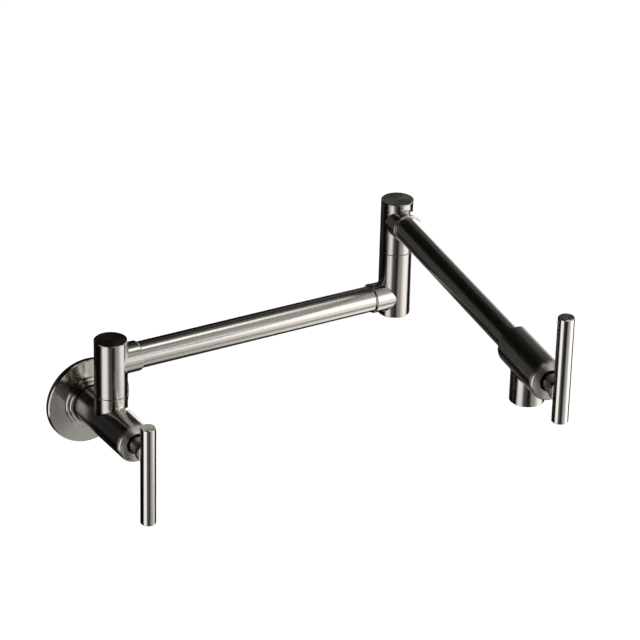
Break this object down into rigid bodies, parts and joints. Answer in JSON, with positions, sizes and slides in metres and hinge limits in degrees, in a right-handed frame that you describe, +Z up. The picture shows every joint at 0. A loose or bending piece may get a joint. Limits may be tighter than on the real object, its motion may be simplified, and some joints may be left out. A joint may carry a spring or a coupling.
{
  "type": "wall mounted pot filler",
  "caption": "Jointed water spout for over a hob: a wall flange and shut-off valve, folding arm tubes on hollow swivels, and an outlet valve with a downturned aerated spout; bar levers.",
  "frame": {"origin": "middle of the supply hole on the finished wall, on the axis of the threaded nipple", "axes": "+Z up, the room lies toward -Y and the wall behind +Y, +X to the right of someone facing the wall; stored with the lower arm along +X, the upper arm turned out into the room and both levers shut"},
  "size_m": [0.3331, 0.4066, 0.2603],
  "materials": {
    "satin_nickel": "satin, fine brushed",
    "plain_brass": "turned",
    "spring_steel": "bright",
    "seal_rubber": "matt",
    "foam_gasket": "matt",
    "bearing_plastic": "matt",
    "ceramic": "lapped",
    "aerator_plastic": "matt"
  },
  "bodies": {
    "wall_valve": {"wall_flange": "satin_nickel", "flange_gasket": "foam_gasket", "flange_seal_ring": "seal_rubber", "inlet_nipple": "plain_brass", "inlet_valve_body": "satin_nickel", "inlet_disc_seal": "seal_rubber", "inlet_fixed_disc": "ceramic", "inlet_cartridge_housing": "plain_brass", "inlet_housing_seal": "seal_rubber", "inlet_trim_ring": "satin_nickel", "wall_swivel_post": "plain_brass", "wall_swivel_seals": "seal_rubber", "wall_swivel_bearing": "bearing_plastic", "wall_swivel_washer": "bearing_plastic", "wall_swivel_nut": "plain_brass"},
    "lower_arm": {"wall_swivel_hub": "satin_nickel", "wall_swivel_cap": "satin_nickel", "lower_arm_tube": "satin_nickel", "elbow_base": "satin_nickel", "elbow_swivel_post": "plain_brass", "elbow_swivel_seals": "seal_rubber", "elbow_swivel_bearing": "bearing_plastic", "elbow_swivel_washer": "bearing_plastic", "elbow_swivel_nut": "plain_brass"},
    "upper_arm": {"elbow_swivel_hub": "satin_nickel", "elbow_swivel_cap": "satin_nickel", "upper_arm_tube": "satin_nickel", "outlet_valve_body": "satin_nickel", "outlet_disc_seal": "seal_rubber", "outlet_fixed_disc": "ceramic", "outlet_cartridge_housing": "plain_brass", "outlet_housing_seal": "seal_rubber", "outlet_trim_ring": "satin_nickel", "aerator_washer": "seal_rubber", "aerator_insert": "aerator_plastic", "aerator_screens": "spring_steel", "aerator_housing": "satin_nickel"},
    "inlet_lever": {"inlet_turning_disc": "ceramic", "inlet_spindle": "plain_brass", "inlet_spindle_seal": "seal_rubber", "inlet_spindle_clip": "spring_steel", "inlet_lever_hub": "satin_nickel", "inlet_set_screw": "spring_steel", "inlet_lever_stud": "spring_steel", "inlet_lever_bar": "satin_nickel"},
    "outlet_lever": {"outlet_turning_disc": "ceramic", "outlet_spindle": "plain_brass", "outlet_spindle_seal": "seal_rubber", "outlet_spindle_clip": "spring_steel", "outlet_lever_hub": "satin_nickel", "outlet_set_screw": "spring_steel", "outlet_lever_stud": "spring_steel", "outlet_lever_bar": "satin_nickel"}
  },
  "joints": [
    {"name": "wall_swivel", "type": "hinge", "parent": "wall_valve", "child": "lower_arm", "pos_m": [0, -0.0455, 0.056], "axis": [0, 0, 1], "range_deg": [-180, 0]},
    {"name": "elbow_swivel", "type": "hinge", "parent": "lower_arm", "child": "upper_arm", "pos_m": [0.28, -0.0455, 0.1285], "axis": [0, 0, 1], "continuous": true},
    {"name": "inlet_lever_turn", "type": "hinge", "parent": "wall_valve", "child": "inlet_lever", "pos_m": [0, -0.0925, 0], "axis": [0, -1, 0], "range_deg": [0, 90]},
    {"name": "outlet_lever_turn", "type": "hinge", "parent": "upper_arm", "child": "outlet_lever", "pos_m": [0.23138, -0.32125, 0.1285], "axis": [-0.1736, -0.9848, 0], "range_deg": [0, 90]}
  ]
}
